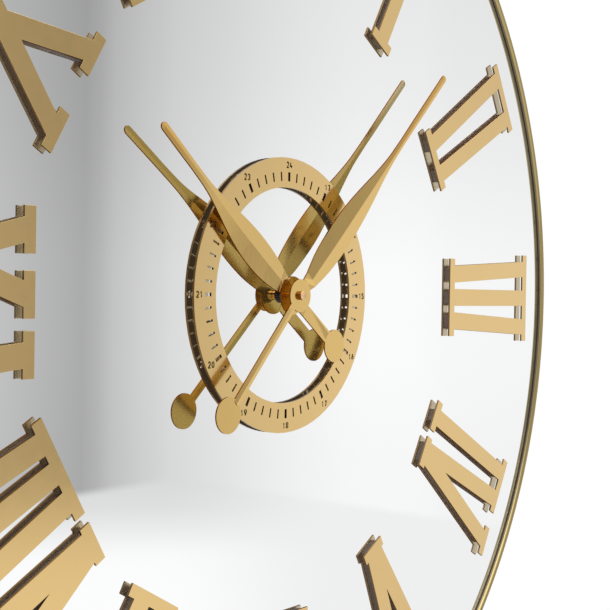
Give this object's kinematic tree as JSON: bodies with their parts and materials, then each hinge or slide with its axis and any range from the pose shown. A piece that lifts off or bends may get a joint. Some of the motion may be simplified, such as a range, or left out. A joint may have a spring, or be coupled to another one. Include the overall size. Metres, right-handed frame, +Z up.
{
  "type": "mirror wall clock",
  "caption": "Round mirror wall clock with a thin gold rim, raised Roman numerals, a cut-through inner hour ring, pressed leaf hands and a quartz movement.",
  "frame": {"origin": "The point of the wall plane behind the centre of the dial.", "axes": "+X right as seen from the front, +Y into the wall, +Z up; the dial faces -Y."},
  "size_m": [0.6, 0.0462, 0.6],
  "materials": {
    "gold_plate": "polished gold-anodised sheet, laser cut",
    "gold_hand": "satin gold-anodised sheet, pressed",
    "gold_rim": "polished gold-anodised band",
    "brass": "turned brass",
    "mirror": "silvered glass",
    "board_paint": "black painted fibreboard",
    "foam": "black foam tape",
    "felt": "black felt on rubber",
    "black_plastic": "moulded, fine grain",
    "white_plastic": "moulded acetal",
    "magnet": "moulded ferrite",
    "steel": "zinc plated",
    "nickel": "nickel plated spring strip",
    "copper_wire": "wound enamelled wire",
    "circuit_board": "solder mask",
    "battery_sleeve": "plain printed sleeve"
  },
  "bodies": {
    "clock_body": {"backing_board": "board_paint", "bond_ring": "foam", "mirror_glass": "mirror", "rim": "gold_rim", "numeral_i": "gold_plate", "numeral_ii": "gold_plate", "numeral_iii": "gold_plate", "numeral_iv": "gold_plate", "numeral_v": "gold_plate", "numeral_vi": "gold_plate", "numeral_vii": "gold_plate", "numeral_viii": "gold_plate", "numeral_ix": "gold_plate", "numeral_x": "gold_plate", "numeral_xi": "gold_plate", "numeral_xii": "gold_plate", "pad_i": "foam", "pad_ii": "foam", "pad_iii": "foam", "pad_iv": "foam", "pad_v": "foam", "pad_vi": "foam", "pad_vii": "foam", "pad_viii": "foam", "pad_ix": "foam", "pad_x": "foam", "pad_xi": "foam", "pad_xii": "foam", "hour_ring": "gold_plate", "ring_pad_1": "foam", "ring_pad_2": "foam", "ring_pad_3": "foam", "stator": "steel", "coil": "copper_wire", "circuit_board": "circuit_board", "battery": "battery_sleeve", "contact_plus": "nickel", "contact_minus": "nickel", "movement_case": "black_plastic", "rear_cover": "black_plastic", "shaft_tube": "black_plastic", "washer": "nickel", "shaft_nut": "brass", "hanger": "steel", "hanger_screw_left": "steel", "hanger_screw_right": "steel", "bumper_left": "felt", "bumper_right": "felt"},
    "minute_works": {"minute_hand": "gold_hand", "minute_cap": "brass", "minute_arbor": "brass"},
    "hour_works": {"hour_hand": "gold_hand", "hour_wheel": "brass"},
    "motion_wheel": {"motion_wheel": "white_plastic"},
    "setting_knob": {"setting_knob": "white_plastic"},
    "rotor": {"rotor": "magnet"},
    "step_wheel": {"step_wheel": "white_plastic"},
    "seconds_wheel": {"seconds_wheel": "white_plastic"},
    "third_wheel": {"third_wheel": "white_plastic"},
    "centre_wheel": {"centre_wheel": "brass"}
  },
  "joints": [
    {"name": "minute_turn", "type": "hinge", "parent": "clock_body", "child": "minute_works", "pos_m": [0, -0.012, 0], "axis": [0, 1, 0], "continuous": true},
    {"name": "hour_turn", "type": "hinge", "parent": "clock_body", "child": "hour_works", "pos_m": [0, -0.012, 0], "axis": [0, 1, 0], "continuous": true},
    {"name": "motion_turn", "type": "hinge", "parent": "clock_body", "child": "motion_wheel", "pos_m": [-0.00922, -0.012, 0.00645], "axis": [0, 1, 0], "continuous": true},
    {"name": "knob_turn", "type": "hinge", "parent": "clock_body", "child": "setting_knob", "pos_m": [-0.00702, -0.012, 0.01892], "axis": [0, 1, 0], "continuous": true},
    {"name": "rotor_turn", "type": "hinge", "parent": "clock_body", "child": "rotor", "pos_m": [0.01602, -0.012, 0.00721], "axis": [0, 1, 0], "continuous": true},
    {"name": "step_turn", "type": "hinge", "parent": "clock_body", "child": "step_wheel", "pos_m": [0.01519, -0.012, 0.01194], "axis": [0, 1, 0], "continuous": true},
    {"name": "seconds_turn", "type": "hinge", "parent": "clock_body", "child": "seconds_wheel", "pos_m": [0.00843, -0.012, 0.01013], "axis": [0, 1, 0], "continuous": true},
    {"name": "third_turn", "type": "hinge", "parent": "clock_body", "child": "third_wheel", "pos_m": [0.00985, -0.012, 0.00209], "axis": [0, 1, 0], "continuous": true},
    {"name": "centre_turn", "type": "hinge", "parent": "clock_body", "child": "centre_wheel", "pos_m": [0, -0.012, 0], "axis": [0, 1, 0], "continuous": true}
  ],
  "couplings": [
    {"joint": "hour_turn", "follows": "minute_turn", "ratio": 0.083333},
    {"joint": "motion_turn", "follows": "minute_turn", "ratio": -0.33333},
    {"joint": "knob_turn", "follows": "minute_turn", "ratio": 0.66667},
    {"joint": "step_turn", "follows": "rotor_turn", "ratio": -0.2},
    {"joint": "seconds_turn", "follows": "rotor_turn", "ratio": 0.033333},
    {"joint": "third_turn", "follows": "rotor_turn", "ratio": -0.0044444},
    {"joint": "centre_turn", "follows": "rotor_turn", "ratio": 0.00055556}
  ]
}
